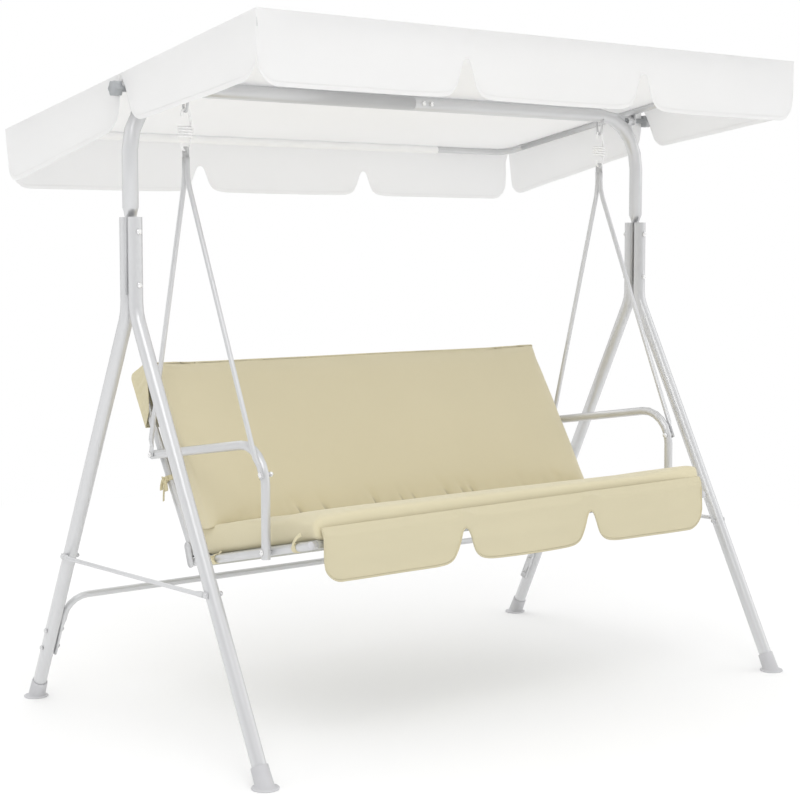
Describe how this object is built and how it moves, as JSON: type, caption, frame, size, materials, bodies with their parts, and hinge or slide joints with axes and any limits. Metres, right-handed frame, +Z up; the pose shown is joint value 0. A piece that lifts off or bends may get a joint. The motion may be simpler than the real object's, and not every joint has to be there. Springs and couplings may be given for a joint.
{
  "type": "canopy swing bench",
  "caption": "Garden swing bench with a bent tube frame, a cushioned seat hung on springs and a tilting fabric canopy with scalloped valances",
  "frame": {"origin": "on the floor under the middle of the frame, below the top bar", "axes": "+X across the bench to the sitter's left as seen from the front right, +Y to the back, +Z up"},
  "size_m": [1.9966, 1.2621, 1.8499],
  "materials": {
    "frame_paint": "light grey powder coat, satin",
    "bolt_zinc": "zinc plated, bright",
    "spring_steel": "zinc plated wire",
    "foot_plastic": "moulded, light grey",
    "knob_plastic": "moulded, mid grey",
    "seat_fabric": "woven polyester, light beige",
    "back_fabric": "woven polyester, beige",
    "sling_weave": "woven mesh, light grey",
    "canopy_fabric": "coated polyester, white"
  },
  "bodies": {
    "frame": {"front_leg_left": "frame_paint", "rear_leg_left": "frame_paint", "front_leg_right": "frame_paint", "rear_leg_right": "frame_paint", "foot_cap_front_left": "foot_plastic", "foot_cap_rear_left": "foot_plastic", "foot_cap_front_right": "foot_plastic", "foot_cap_rear_right": "foot_plastic", "top_bar_left": "frame_paint", "top_bar_right": "frame_paint", "bar_bolt_inner": "bolt_zinc", "bar_bolt_outer": "bolt_zinc", "leg_bolt_upper_left": "bolt_zinc", "leg_bolt_lower_left": "bolt_zinc", "leg_bolt_upper_right": "bolt_zinc", "leg_bolt_lower_right": "bolt_zinc", "side_brace_left": "frame_paint", "side_brace_right": "frame_paint", "rear_crossbar": "frame_paint", "spring_eye_left": "frame_paint", "spring_eye_right": "frame_paint", "canopy_bracket_left": "frame_paint", "canopy_bracket_right": "frame_paint"},
    "springs": {"spring_left": "spring_steel", "spring_right": "spring_steel"},
    "seat": {"hanger_left": "frame_paint", "hanger_right": "frame_paint", "armrest_left": "frame_paint", "armrest_right": "frame_paint", "seat_side_rail_left": "frame_paint", "back_upright_left": "frame_paint", "seat_side_rail_right": "frame_paint", "back_upright_right": "frame_paint", "seat_front_rail": "frame_paint", "seat_rear_rail": "frame_paint", "back_top_rail": "frame_paint", "gusset_left": "frame_paint", "gusset_right": "frame_paint", "hanger_bolt_front_left": "bolt_zinc", "hanger_bolt_rear_left": "bolt_zinc", "armrest_bolt_left": "bolt_zinc", "hanger_bolt_front_right": "bolt_zinc", "hanger_bolt_rear_right": "bolt_zinc", "armrest_bolt_right": "bolt_zinc", "seat_sling": "sling_weave", "back_sling": "sling_weave", "seat_cushion": "seat_fabric", "back_cushion": "back_fabric", "back_pocket": "seat_fabric", "seat_valance": "seat_fabric"},
    "canopy": {"canopy_front_bar": "frame_paint", "canopy_rear_bar": "frame_paint", "canopy_side_bar_left": "frame_paint", "canopy_side_bar_right": "frame_paint", "canopy_cloth": "canopy_fabric"},
    "knob_left": {"canopy_knob_left": "knob_plastic"},
    "knob_right": {"canopy_knob_right": "knob_plastic"}
  },
  "joints": [
    {"name": "seat_swing", "type": "hinge", "parent": "frame", "child": "springs", "pos_m": [0, 0, 1.662], "axis": [1, 0, 0], "range_deg": [-25, 25]},
    {"name": "seat_bounce", "type": "slide", "parent": "springs", "child": "seat", "axis": [0, 0, 1], "range_m": [-0.02, 0.004], "stiffness_N_per_m": 130000, "springref_m": 0.0008, "deforming": ["spring_left", "spring_right"]},
    {"name": "canopy_tilt", "type": "hinge", "parent": "frame", "child": "canopy", "pos_m": [0, 0, 1.704], "axis": [-1, 0, 0], "range_deg": [-20, 25]},
    {"name": "knob_left_turn", "type": "hinge", "parent": "frame", "child": "knob_left", "pos_m": [-0.988, 0, 1.704], "axis": [-1, 0, 0], "range_deg": [0, 360]},
    {"name": "knob_right_turn", "type": "hinge", "parent": "frame", "child": "knob_right", "pos_m": [0.988, 0, 1.704], "axis": [1, 0, 0], "range_deg": [0, 360]}
  ]
}
